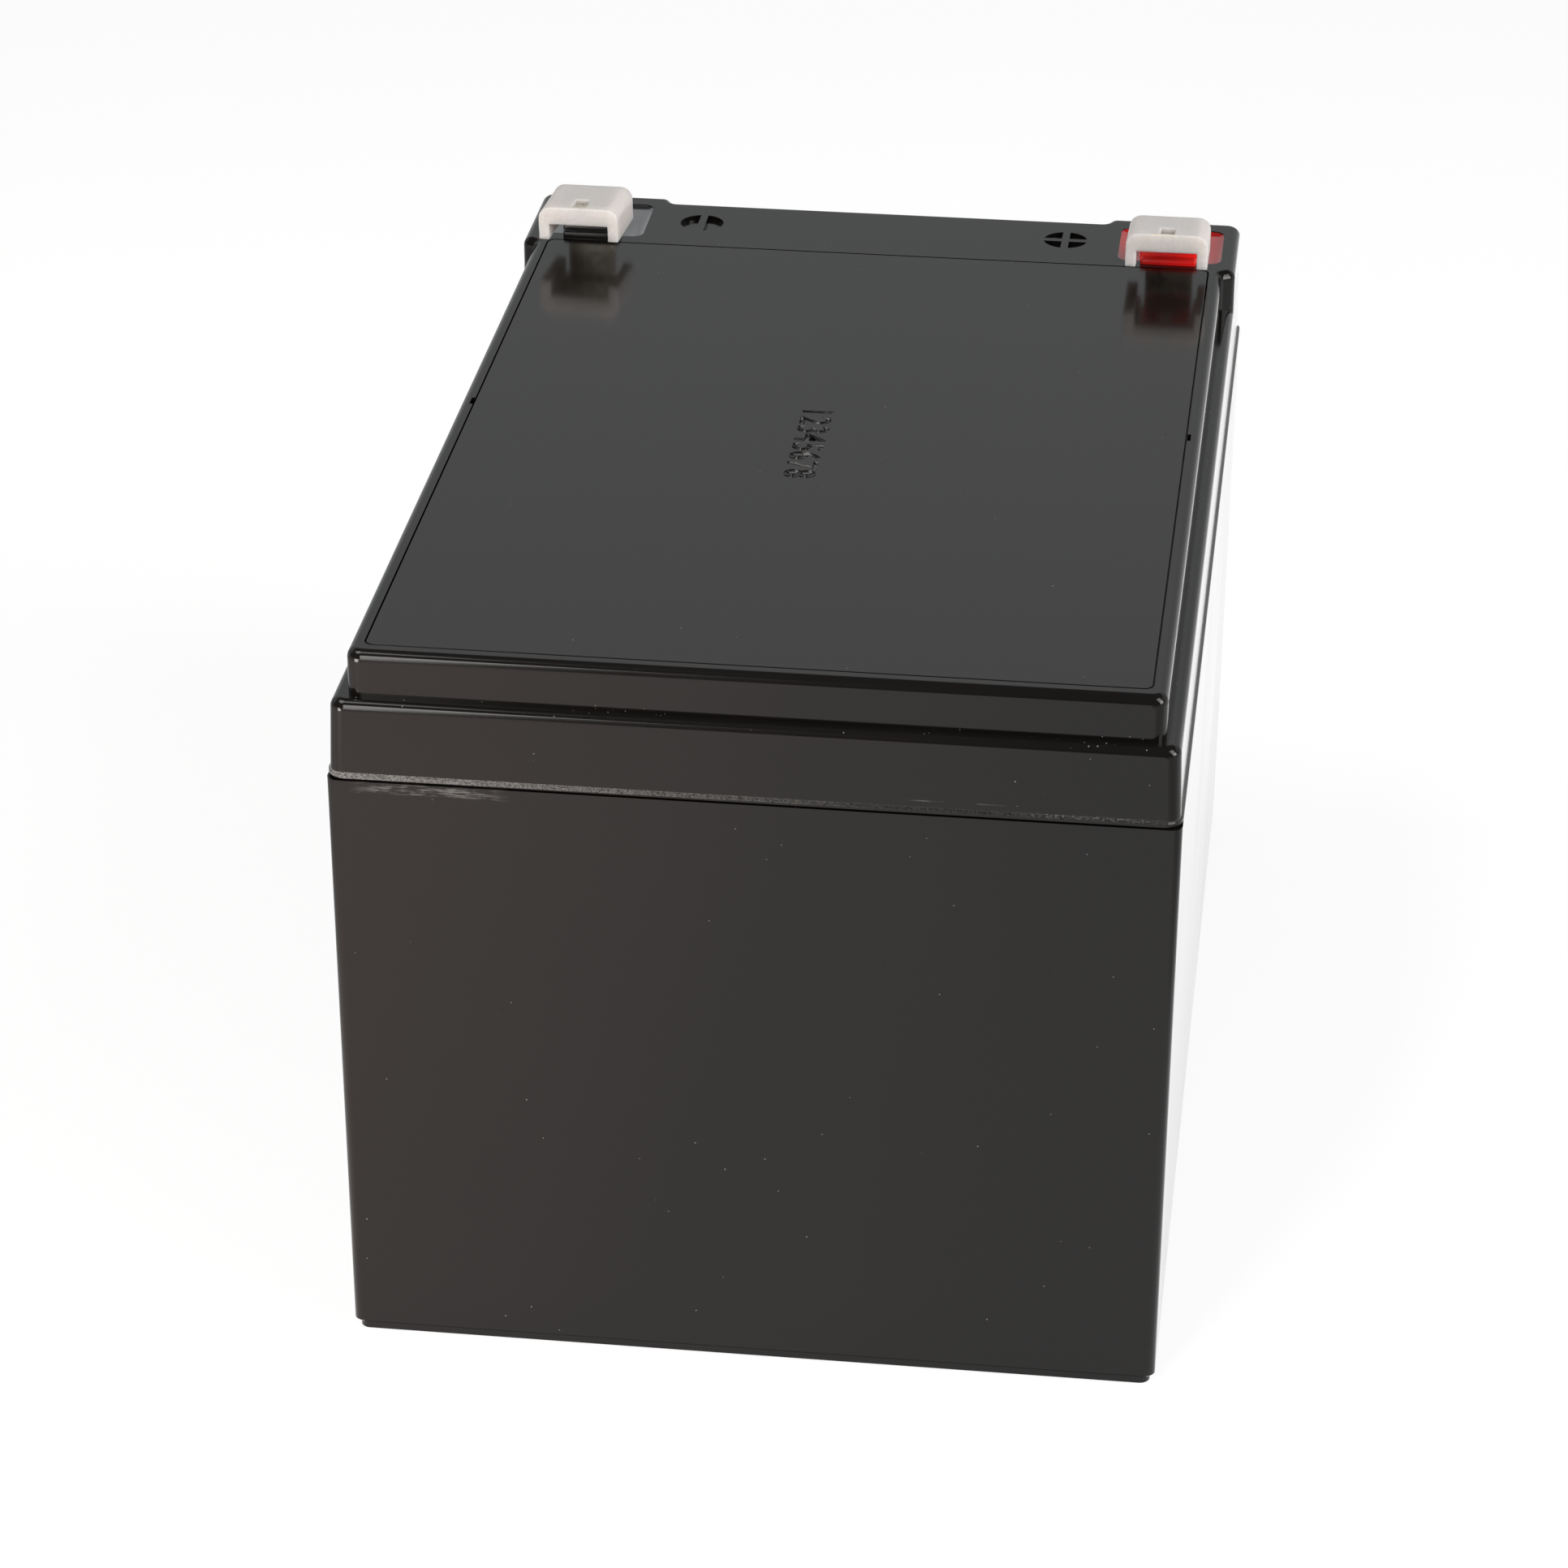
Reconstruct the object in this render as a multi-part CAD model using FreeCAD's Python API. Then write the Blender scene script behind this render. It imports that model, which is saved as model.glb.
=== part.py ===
import FreeCAD
import Part
import os
from math import cos, radians, sin

# Sealed lead acid battery, 12 V, six cells in two rows of three.
# X is the width, Y the length (the terminals stand at the +Y end), Z is up.
# The origin is the middle of the base. All sizes are millimetres.

# Jar
case_width = 98.0
case_length = 151.0
jar_height = 75.3
jar_wall = 2.6
jar_floor = 2.6
jar_draft = 0.45
jar_corner = 1.3
partition = 1.6
plinth_height = 1.0
plinth_inset = 0.6
foot_chamfer = 0.4

# Lid
skirt_step = 0.55
skirt_height = 9.8
platform_height = 5.5
joint_gap = 0.3
joint_depth = 0.6
skirt_draft = 0.3
flange_height = 0.65
flange_chamfer = 0.3
edge_round = 1.2
lid_corner = 1.8
platform_inset = 1.75
lid_shell = 2.1
block_width = 17.6
block_length = 18.0
block_step_run = 1.0
block_round_out = 1.3
block_round_in = 0.8

# Vent cover plate and its recess
plate_side_margin = 1.9
plate_near_margin = 2.35
plate_far_margin = 18.1
plate_thickness = 2.0
plate_gap = 0.18
plate_corner = 1.2
notch_length = 2.0
notch_width = 0.45
notch_place = 0.2

# Valves, three in each of two troughs under the vent cover plate
trough_width = 14.4
trough_wall = 1.8
trough_depth = 7.4
trough_floor_thickness = 1.8
chimney_radius = 4.6
vent_radius = 2.2
chimney_sides = 16
valve_play = 0.05
valve_wall = 1.4
valve_roof = 1.4
valve_to_plate = 0.4
valve_foot = 0.4

# Terminal pockets and epoxy
pocket_width = 14.0
pocket_length = 12.2
pocket_depth = 4.0
pocket_corner = 1.5
pocket_side_margin = 2.05
pocket_far_margin = 3.45
pocket_shell = 2.0
epoxy_below_top = 0.45

# Polarity marks
mark_radius = 2.95
mark_depth = 0.6
mark_bar = 1.0
mark_from_centre = 25.0
mark_from_far_end = 9.35

# Tab terminals, 6.35 by 0.8
tab_width = 6.35
tab_thickness = 0.8
tab_rise = 7.0
tab_tip_from_far_end = 24.95
tab_stem_from_far_end = 15.0
tab_bend = 1.2
tab_hole_radius = 1.0
tab_hole_from_tip = 3.3
tab_tip_chamfer = 1.0
tab_foot_length = 6.0
post_radius = 3.0
post_play = 0.1

# Terminal caps
cap_width = 10.9
cap_length = 9.2
cap_roof = 0.9
cap_skirt_depth = 2.15
cap_body_depth = 1.5
cap_leg = 1.42
cap_shoulder = 2.0
cap_front_wall = 1.35
cap_slot_play = 0.08
cap_window_width = 1.9
cap_window_length = 2.1
cap_window_from_front = 1.3

# Elements in the cells. The two ratios give the thickness of a plate to that of a mat.
positive_count = 5
positive_ratio = 2.06
negative_ratio = 1.48
stack_clearance = 0.15
plates_below_rim = 11.3
plate_edge_gap = 2.0
separator_edge_gap = 0.6
separator_overhang = 1.6
lug_width = 9.0
lug_thinner = 1.2
lug_from_plate_edge = 3.0
lug_in_strap = 3.0
strap_width = 11.0
straps_below_rim = 7.9
strap_thickness = 4.6
neck_radius = 2.1
neck_play = 0.05
neck_sides = 8

skirt_top = jar_height + skirt_height
top_height = skirt_top + platform_height
skirt_half_x = case_width / 2 - skirt_step
skirt_half_y = case_length / 2 - skirt_step
platform_half_x = skirt_half_x - platform_inset
platform_near = -skirt_half_y + platform_inset
platform_far = skirt_half_y - platform_inset

cell_x = (case_width - 2 * jar_wall - partition) / 2
cell_y = (case_length - 2 * jar_wall - 2 * partition) / 3
cell_pitch_x = cell_x + partition
cell_pitch_y = cell_y + partition
row_x = cell_pitch_x / 2

recess_floor = top_height - plate_thickness
ceiling = recess_floor - lid_shell
trough_floor = recess_floor - trough_depth
plate_half_x = platform_half_x - plate_side_margin
plate_near = platform_near + plate_near_margin
plate_far = skirt_half_y - plate_far_margin
chimney_top = recess_floor - valve_to_plate - valve_roof

pocket_x = skirt_half_x - pocket_side_margin - pocket_width / 2
pocket_y = skirt_half_y - pocket_far_margin - pocket_length / 2
pocket_floor = top_height - pocket_depth
epoxy_top = top_height - epoxy_below_top

tab_top = top_height + tab_rise
tab_under = tab_top - tab_thickness
tab_tip_y = skirt_half_y - tab_tip_from_far_end
stem_y = skirt_half_y - tab_stem_from_far_end
tab_inner_bend = tab_bend - tab_thickness / 2
foot_flat_y = stem_y + tab_thickness + tab_inner_bend
post_y = (foot_flat_y + stem_y + tab_foot_length) / 2
cap_front_y = tab_tip_y - cap_front_wall - cap_slot_play

stack_x = cell_x - 2 * stack_clearance
negative_count = positive_count + 1
mats_in_stack = positive_count * positive_ratio + negative_count * negative_ratio + 2 * positive_count
separator_thickness = stack_x / mats_in_stack
positive_thickness = positive_ratio * separator_thickness
negative_thickness = negative_ratio * separator_thickness
plate_top = jar_height - plates_below_rim
strap_bottom = jar_height - straps_below_rim
plate_pitch = (positive_thickness + negative_thickness) / 2 + separator_thickness
plate_width = cell_y - 2 * plate_edge_gap
lug_offset = plate_width / 2 - lug_from_plate_edge - lug_width / 2
strap_middle = strap_bottom + strap_thickness / 2

# Each cell: column (-1 left, 1 right), row (-1 near, 0, 1 far) and the end of the
# cell (1 far, -1 near) where its negative strap lies. The current runs down the left
# column and back up the right one, so both terminals come out at the far end.
cells = [(-1, 1, 1), (-1, 0, 1), (-1, -1, 1), (1, -1, -1), (1, 0, -1), (1, 1, -1)]


def vec(x, y, z):
    return FreeCAD.Vector(x, y, z)


def cell_centre(number):
    column, row, _ = cells[number]
    return column * row_x, row * cell_pitch_y


def box(x0, x1, y0, y1, z0, z1):
    return Part.makeBox(x1 - x0, y1 - y0, z1 - z0, vec(x0, y0, z0))


def rounded_outline(points, radii, z):
    """A closed wire through the points, with an arc of its own radius at each corner."""
    count = len(points)
    corners = []
    for i in range(count):
        here = vec(points[i][0], points[i][1], z)
        to_last = (vec(points[i - 1][0], points[i - 1][1], z) - here).normalize()
        following = points[(i + 1) % count]
        to_next = (vec(following[0], following[1], z) - here).normalize()
        half = to_last.getAngle(to_next) / 2
        setback = radii[i] * cos(half) / sin(half)
        start = here + to_last * setback
        end = here + to_next * setback
        inward = (to_last + to_next).normalize()
        middle = here + inward * (radii[i] / sin(half) - radii[i])
        corners.append((start, middle, end))
    edges = []
    for i in range(count):
        start, middle, end = corners[i]
        edges.append(Part.Arc(start, middle, end).toShape())
        next_start = corners[(i + 1) % count][0]
        if end.distanceToPoint(next_start) > 1e-6:
            edges.append(Part.LineSegment(end, next_start).toShape())
    return Part.Wire(edges)


def rectangle(half_x, near, far, radius, z):
    points = [(-half_x, near), (half_x, near), (half_x, far), (-half_x, far)]
    return rounded_outline(points, [radius] * 4, z)


def prism(wire, height):
    return Part.Face(wire).extrude(vec(0, 0, height))


def edges_at(shape, z):
    """The edges that lie in the level plane at z."""
    return [e for e in shape.Edges if abs(e.BoundBox.ZMin - z) < 1e-5 and abs(e.BoundBox.ZMax - z) < 1e-5]


def cylinder(radius, x, y, z0, z1):
    return Part.makeCylinder(radius, z1 - z0, vec(x, y, z0))


def many_sided(centre, across, up, radius, sides):
    """A face with flat sides that stands in for a round one where nothing shows."""
    turns = [radians(360 * (i + 0.5) / sides) for i in range(sides + 1)]
    outline = [centre + across * (radius * cos(turn)) + up * (radius * sin(turn)) for turn in turns]
    return Part.Face(Part.makePolygon(outline))


def chimney(radius, x, y, z0, z1):
    face = many_sided(vec(x, y, z0), vec(1, 0, 0), vec(0, 1, 0), radius, chimney_sides)
    return face.extrude(vec(0, 0, z1 - z0))


def tapered_block(foot_x, foot_y, z0, top_x, top_y, z1, corner):
    """A block whose half sizes change from foot to top, with rounded upright edges."""
    block = Part.makeWedge(-foot_x, z0, -foot_y, -top_y, -top_x, foot_x, z1, foot_y, top_y, top_x)
    block.rotate(vec(0, 0, 0), vec(1, 0, 0), 90)
    upright = [e for e in block.Edges if e.BoundBox.ZLength > (z1 - z0) / 2]
    return block.makeFillet(corner, upright)


def jar():
    """One moulding: tapered walls on a small plinth, with six cells inside."""
    half_x = case_width / 2
    half_y = case_length / 2
    walls = tapered_block(half_x - jar_draft, half_y - jar_draft, plinth_height,
                          half_x, half_y, jar_height, jar_corner)
    walls = walls.makeChamfer(foot_chamfer, edges_at(walls, plinth_height))
    inset = jar_draft + plinth_inset
    base = rectangle(half_x - inset, -half_y + inset, half_y - inset, jar_corner, 0)
    solid = walls.fuse(prism(base, plinth_height + jar_floor / 2))
    for number in range(6):
        x, y = cell_centre(number)
        solid = solid.cut(box(x - cell_x / 2, x + cell_x / 2, y - cell_y / 2, y + cell_y / 2, jar_floor, jar_height))
    for number in range(5):
        solid = solid.cut(link_neck(number, neck_radius + neck_play))
    return solid.removeSplitter()


def platform_outline():
    """The raised middle of the lid, with the two terminal blocks at the far corners."""
    block_x = skirt_half_x - block_width
    block_y = skirt_half_y - block_length
    run = block_step_run
    half = [(platform_half_x, platform_near), (platform_half_x, block_y - run), (skirt_half_x, block_y),
            (skirt_half_x, skirt_half_y), (block_x, skirt_half_y), (block_x - run, platform_far)]
    radii = [lid_corner, block_round_in, block_round_out, lid_corner, block_round_out, block_round_in]
    mirrored = [(-x, y) for x, y in reversed(half)]
    return rounded_outline(half + mirrored, radii + list(reversed(radii)), skirt_top - lid_shell)


def lid_outside():
    half_x = skirt_half_x
    half_y = skirt_half_y
    flange_z = jar_height + joint_gap
    seat = prism(rectangle(half_x - joint_depth, -half_y + joint_depth, half_y - joint_depth, lid_corner,
                           jar_height), joint_gap)
    flange = prism(rectangle(case_width / 2, -case_length / 2, case_length / 2, lid_corner + skirt_step,
                             flange_z), flange_height)
    flange = flange.makeChamfer(flange_chamfer, edges_at(flange, flange_z + flange_height))
    skirt = tapered_block(half_x + skirt_draft, half_y + skirt_draft, flange_z, half_x, half_y, skirt_top, lid_corner)
    skirt = skirt.makeFillet(edge_round, edges_at(skirt, skirt_top))
    platform = prism(platform_outline(), top_height - skirt_top + lid_shell)
    platform = platform.makeFillet(edge_round, edges_at(platform, top_height))
    return seat.fuse([flange, skirt, platform])


def lid_cell_spaces():
    """The head space over each cell: wide in the skirt, narrower in the platform."""
    spaces = []
    for number in range(6):
        x, y = cell_centre(number)
        x0, x1 = x - cell_x / 2, x + cell_x / 2
        y0, y1 = y - cell_y / 2, y + cell_y / 2
        spaces.append(box(x0, x1, y0, y1, jar_height, skirt_top - lid_shell))
        limit_x = platform_half_x - lid_shell
        spaces.append(box(max(x0, -limit_x), min(x1, limit_x), max(y0, platform_near + lid_shell),
                          min(y1, platform_far - lid_shell), skirt_top - lid_shell, ceiling))
    return spaces


def trough_box(side, wall, z0):
    x = side * row_x
    half_x = trough_width / 2 + wall
    half_y = cell_pitch_y + half_x
    return box(x - half_x, x + half_x, -half_y, half_y, z0, recess_floor)


def lid():
    """One moulding: skirt, platform, terminal pockets, valve troughs and polarity marks."""
    solid = lid_outside().cut(lid_cell_spaces())
    bosses = []
    for side in (-1, 1):
        bosses.append(trough_box(side, trough_wall, trough_floor - trough_floor_thickness))
        half_x = pocket_width / 2 + pocket_shell
        half_y = pocket_length / 2 + pocket_shell
        x = side * pocket_x
        far_y = min(pocket_y + half_y, platform_far)
        bosses.append(box(x - half_x, x + half_x, pocket_y - half_y, far_y, pocket_floor - pocket_shell, ceiling))
    solid = solid.fuse(bosses)
    cuts = [prism(rectangle(plate_half_x + plate_gap, plate_near - plate_gap, plate_far + plate_gap,
                            plate_corner, recess_floor), plate_thickness)]
    centres = [cell_centre(number) for number in range(6)]
    chimneys = [chimney(chimney_radius, x, y, trough_floor, chimney_top) for x, y in centres]
    for x, y in centres:
        cuts.append(chimney(vent_radius, x, y, trough_floor - trough_floor_thickness, chimney_top))
    for side in (-1, 1):
        cuts.append(trough_box(side, 0, trough_floor).cut(chimneys))
        x = side * pocket_x
        cuts.append(pocket_space(x, pocket_floor, top_height))
        cuts.append(cylinder(post_radius + post_play, x, post_y, pocket_floor - pocket_shell, pocket_floor))
        cuts.append(mark(side))
        edge_x = side * (plate_half_x + plate_gap)
        inner, outer = sorted((edge_x, edge_x + side * notch_width))
        cuts.append(box(inner, outer, notch_place - notch_length / 2, notch_place + notch_length / 2,
                        recess_floor, top_height))
    return solid.cut(cuts).removeSplitter()


def pocket_space(x, z0, z1):
    half_x = pocket_width / 2
    half_y = pocket_length / 2
    corners = [(x - half_x, pocket_y - half_y), (x + half_x, pocket_y - half_y),
               (x + half_x, pocket_y + half_y), (x - half_x, pocket_y + half_y)]
    return prism(rounded_outline(corners, [pocket_corner] * 4, z0), z1 - z0)


def mark(side):
    """A round sink that leaves a minus bar (left) or a plus (right) flush with the lid."""
    x = side * mark_from_centre
    y = skirt_half_y - mark_from_far_end
    z0 = top_height - mark_depth
    disc = cylinder(mark_radius, x, y, z0, top_height)
    half = mark_bar / 2
    disc = disc.cut(box(x - half, x + half, y - mark_radius, y + mark_radius, z0, top_height))
    if side > 0:
        disc = disc.cut(box(x - mark_radius, x + mark_radius, y - half, y + half, z0, top_height))
    return disc


def vent_cover_plate():
    outline = rectangle(plate_half_x, plate_near, plate_far, plate_corner - plate_gap, recess_floor)
    return prism(outline, plate_thickness)


def valve_caps():
    """Rubber cups pulled over the chimneys. Gas lifts a skirt and it closes again."""
    inner = chimney_radius + valve_play
    outer = inner + valve_wall
    foot = trough_floor + valve_foot
    cups = []
    for number in range(6):
        x, y = cell_centre(number)
        cup = chimney(outer, x, y, foot, chimney_top + valve_roof)
        cups.append(cup.cut(chimney(inner, x, y, foot, chimney_top)))
    return Part.makeCompound(cups)


def tab_path(z_top, z_foot):
    """Side outline of the terminal: blade, bend, stem, bend and foot, one strip bent twice."""
    t = tab_thickness
    inner = tab_inner_bend
    outer = tab_inner_bend + t
    y_back = stem_y + t
    y_end = stem_y + tab_foot_length
    turn = cos(radians(45))
    lines = []
    lines.append(Part.LineSegment(vec(0, tab_tip_y, z_top - t), vec(0, stem_y - inner, z_top - t)))
    lines.append(Part.Arc(vec(0, stem_y - inner, z_top - t),
                          vec(0, stem_y - inner + inner * turn, z_top - t - inner + inner * turn),
                          vec(0, stem_y, z_top - t - inner)))
    lines.append(Part.LineSegment(vec(0, stem_y, z_top - t - inner), vec(0, stem_y, z_foot + outer)))
    lines.append(Part.Arc(vec(0, stem_y, z_foot + outer),
                          vec(0, stem_y + outer - outer * turn, z_foot + outer - outer * turn),
                          vec(0, stem_y + outer, z_foot)))
    lines.append(Part.LineSegment(vec(0, stem_y + outer, z_foot), vec(0, y_end, z_foot)))
    lines.append(Part.LineSegment(vec(0, y_end, z_foot), vec(0, y_end, z_foot + t)))
    lines.append(Part.LineSegment(vec(0, y_end, z_foot + t), vec(0, y_back + inner, z_foot + t)))
    lines.append(Part.Arc(vec(0, y_back + inner, z_foot + t),
                          vec(0, y_back + inner - inner * turn, z_foot + t + inner - inner * turn),
                          vec(0, y_back, z_foot + t + inner)))
    lines.append(Part.LineSegment(vec(0, y_back, z_foot + t + inner), vec(0, y_back, z_top - outer)))
    lines.append(Part.Arc(vec(0, y_back, z_top - outer),
                          vec(0, y_back - outer + outer * turn, z_top - outer + outer * turn),
                          vec(0, y_back - outer, z_top)))
    lines.append(Part.LineSegment(vec(0, y_back - outer, z_top), vec(0, tab_tip_y, z_top)))
    lines.append(Part.LineSegment(vec(0, tab_tip_y, z_top), vec(0, tab_tip_y, z_top - t)))
    return Part.Wire([line.toShape() for line in lines])


def terminal(side):
    x = side * pocket_x
    strip = Part.Face(tab_path(tab_top, pocket_floor)).extrude(vec(tab_width, 0, 0))
    strip.translate(vec(x - tab_width / 2, 0, 0))
    hole = cylinder(tab_hole_radius, x, tab_tip_y + tab_hole_from_tip, tab_under, tab_top)
    cuts = [hole]
    for edge in (-1, 1):
        corner_x = x + edge * tab_width / 2
        points = [vec(corner_x, tab_tip_y, tab_under), vec(corner_x - edge * tab_tip_chamfer, tab_tip_y, tab_under),
                  vec(corner_x, tab_tip_y + tab_tip_chamfer, tab_under), vec(corner_x, tab_tip_y, tab_under)]
        cuts.append(Part.Face(Part.makePolygon(points)).extrude(vec(0, 0, tab_thickness)))
    return strip.cut(cuts)


def epoxy_seal(side):
    """Resin poured into the pocket, over the foot of the tab that is soldered to the post."""
    x = side * pocket_x
    resin = pocket_space(x, pocket_floor, epoxy_top)
    strip = Part.Face(tab_path(tab_top, pocket_floor)).extrude(vec(tab_width, 0, 0))
    strip.translate(vec(x - tab_width / 2, 0, 0))
    return resin.cut(strip)


def terminal_cap(side):
    """Clear cover pushed over the blade: a channel with legs, closed at the front."""
    x = side * pocket_x
    half = cap_width / 2
    top = tab_top + cap_roof
    body_under = tab_top - cap_body_depth
    leg_under = body_under - cap_skirt_depth
    y0 = cap_front_y
    y1 = cap_front_y + cap_length
    body = box(x - half, x + half, y0, y1, leg_under, top)
    shoulders = [e for e in body.Edges if e.BoundBox.YLength > cap_length / 2 and e.BoundBox.ZMin > body_under]
    body = body.makeFillet(cap_shoulder, shoulders)
    inner = half - cap_leg
    body = body.cut(box(x - inner, x + inner, y0, y1, leg_under, body_under))
    slot = tab_width / 2 + cap_slot_play
    body = body.cut(box(x - slot, x + slot, y0 + cap_front_wall, y1, body_under, tab_top))
    window = cap_window_width / 2
    window_y = y0 + cap_window_from_front
    return body.cut(box(x - window, x + window, window_y, window_y + cap_window_length, tab_top, top))


def plate_places(kind):
    """Offsets of the plates from the middle of their cell, and the thickness of one."""
    if kind == "positive":
        first = -(positive_count - 1) * plate_pitch
        return [first + 2 * i * plate_pitch for i in range(positive_count)], positive_thickness
    first = -(negative_count - 1) * plate_pitch
    return [first + 2 * i * plate_pitch for i in range(negative_count)], negative_thickness


def lug_end(number, kind):
    """The Y of the lugs and the strap of this polarity in this cell."""
    negative_end = cells[number][2]
    end = negative_end if kind == "negative" else -negative_end
    return cell_centre(number)[1] + end * lug_offset


def lug_box(number, kind, offset, thickness):
    x = cell_centre(number)[0] + offset
    y = lug_end(number, kind)
    half = (thickness - lug_thinner) / 2
    return box(x - half, x + half, y - lug_width / 2, y + lug_width / 2, plate_top, strap_bottom + lug_in_strap)


def plates(number, kind):
    """The pasted plates of one polarity in one cell, each with its lug."""
    x, y = cell_centre(number)
    offsets, thickness = plate_places(kind)
    bottom = jar_floor + separator_thickness if kind == "positive" else jar_floor
    solids = []
    for offset in offsets:
        left = x + offset - thickness / 2
        plate = box(left, left + thickness, y - plate_width / 2, y + plate_width / 2, bottom, plate_top)
        solids.append(plate.fuse(lug_box(number, kind, offset, thickness)).removeSplitter())
    return Part.makeCompound(solids)


def separators(number):
    """Glass mat, folded in a U round each positive plate."""
    x, y = cell_centre(number)
    offsets, thickness = plate_places("positive")
    half_y = cell_y / 2 - separator_edge_gap
    solids = []
    for offset in offsets:
        left = x + offset - thickness / 2
        right = left + thickness
        outer = box(left - separator_thickness, right + separator_thickness, y - half_y, y + half_y,
                    jar_floor, plate_top + separator_overhang)
        inner = box(left, right, y - half_y, y + half_y, jar_floor + separator_thickness,
                    plate_top + separator_overhang)
        solids.append(outer.cut(inner))
    return Part.makeCompound(solids)


def strap(number, kind):
    """Cast bar over the lugs of one polarity, with a pocket for each lug."""
    x = cell_centre(number)[0]
    y = lug_end(number, kind)
    half = stack_x / 2
    bar = box(x - half, x + half, y - strap_width / 2, y + strap_width / 2, strap_bottom,
              strap_bottom + strap_thickness)
    offsets, thickness = plate_places(kind)
    return bar.cut([lug_box(number, kind, offset, thickness) for offset in offsets])


def link_neck(number, radius):
    """The weld between a cell and the next one, through the wall between them."""
    x = cell_centre(number)[0]
    start_y = lug_end(number, "positive")
    end_y = lug_end(number + 1, "negative")
    if cell_centre(number + 1)[0] == x:
        low, high = sorted((start_y, end_y))
        start = vec(x, low + strap_width / 2, strap_middle)
        along = vec(0, high - low - strap_width, 0)
        across = vec(1, 0, 0)
    else:
        reach = row_x - stack_x / 2
        start = vec(-reach, start_y, strap_middle)
        along = vec(2 * reach, 0, 0)
        across = vec(0, 1, 0)
    return many_sided(start, across, vec(0, 0, 1), radius, neck_sides).extrude(along)


def cell_link(number):
    straps = [strap(number + 1, "negative"), link_neck(number, neck_radius)]
    return strap(number, "positive").fuse(straps).removeSplitter()


def end_strap(side):
    """The first or last strap, with the post that carries the terminal."""
    number, kind = (0, "negative") if side < 0 else (5, "positive")
    post = cylinder(post_radius, side * pocket_x, post_y, strap_bottom + strap_thickness, pocket_floor)
    return strap(number, kind).fuse(post).removeSplitter()


def save(name, shape):
    shape.exportStep("parts/" + name + ".step")


os.makedirs("parts", exist_ok=True)
save("jar", jar())
save("lid", lid())
save("vent_cover_plate", vent_cover_plate())
save("valve_caps", valve_caps())
for side, pole in ((-1, "negative"), (1, "positive")):
    save("terminal_" + pole, terminal(side))
    save("terminal_cap_" + pole, terminal_cap(side))
    save("epoxy_seal_" + pole, epoxy_seal(side))
    save("end_strap_" + pole, end_strap(side))
for number in range(6):
    cell = str(number + 1)
    save("positive_plates_" + cell, plates(number, "positive"))
    save("negative_plates_" + cell, plates(number, "negative"))
    save("separators_" + cell, separators(number))
for number in range(5):
    save("cell_link_" + str(number + 1) + "_" + str(number + 2), cell_link(number))
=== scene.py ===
import bpy
from math import radians
from mathutils import Matrix, Vector


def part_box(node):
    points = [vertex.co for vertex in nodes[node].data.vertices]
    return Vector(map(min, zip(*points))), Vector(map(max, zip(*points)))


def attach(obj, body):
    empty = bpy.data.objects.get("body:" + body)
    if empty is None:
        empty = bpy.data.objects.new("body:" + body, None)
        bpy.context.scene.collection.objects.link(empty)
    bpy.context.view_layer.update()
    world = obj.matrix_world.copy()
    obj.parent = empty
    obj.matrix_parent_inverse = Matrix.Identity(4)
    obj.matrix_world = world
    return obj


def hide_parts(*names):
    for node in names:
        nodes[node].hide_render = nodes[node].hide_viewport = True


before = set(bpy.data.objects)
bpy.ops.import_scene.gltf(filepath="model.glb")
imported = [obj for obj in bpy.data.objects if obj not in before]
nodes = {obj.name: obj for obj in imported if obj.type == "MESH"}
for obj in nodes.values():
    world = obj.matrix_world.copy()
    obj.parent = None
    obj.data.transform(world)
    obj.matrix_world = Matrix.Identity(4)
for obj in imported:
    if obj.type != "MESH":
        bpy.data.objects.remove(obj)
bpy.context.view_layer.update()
MM = 0.001
TINY = 1e-6


# Studio
#
# The battery stands on a plain white table, on a strip of white paper that shows in its
# gloss. The camera looks down on its plain narrow end from a little over half a metre. A
# tall window lights the front, and soft lamps hang over the table and stand beside it.

scene = bpy.context.scene
scene.view_settings.view_transform = "Standard"

CAMERA_PLACE = Vector((64.92, -572.44, 338.15)) * MM
CAMERA_AZIMUTH = radians(7.0)
CAMERA_TILT = radians(62.57)
CAMERA_ROLL = radians(0.18)
bpy.ops.object.camera_add()
camera = bpy.context.object
camera.name = "studio_camera"
camera.data.sensor_width = 36.0
camera.data.lens = 114.62
camera.data.clip_start = 0.02
camera.data.clip_end = 60.0
camera.matrix_world = (Matrix.Translation(CAMERA_PLACE) @ Matrix.Rotation(CAMERA_AZIMUTH, 4, "Z")
                       @ Matrix.Rotation(CAMERA_TILT, 4, "X") @ Matrix.Rotation(CAMERA_ROLL, 4, "Z"))
scene.camera = camera


def node_in(tree, kind, **values):
    """A new node. A value goes to the socket of that name, or else to the setting."""
    node = tree.nodes.new(kind)
    for name, value in values.items():
        socket = node.inputs.get(name.replace("_", " "))
        if socket is not None and not hasattr(node, name):
            socket.default_value = value
        else:
            setattr(node, name, value)
    return node


def wire(tree, start, end):
    tree.links.new(start, end)


def new_material(name):
    material = bpy.data.materials.new(name)
    material.use_nodes = True
    material.node_tree.nodes.clear()
    return material, material.node_tree


def put_on_surface(tree, shader):
    out = tree.nodes.new("ShaderNodeOutputMaterial")
    wire(tree, shader.outputs[0], out.inputs["Surface"])


def split_in(tree, vector):
    """The X, Y and Z of a vector, by name."""
    parts = tree.nodes.new("ShaderNodeSeparateXYZ")
    wire(tree, vector, parts.inputs[0])
    return parts.outputs


def fade(tree, value, start, end):
    """0 at start and 1 at end, with a soft change between them."""
    node = node_in(tree, "ShaderNodeMapRange", interpolation_type="SMOOTHSTEP",
                   From_Min=start, From_Max=end)
    wire(tree, value, node.inputs["Value"])
    return node.outputs["Result"]


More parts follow.
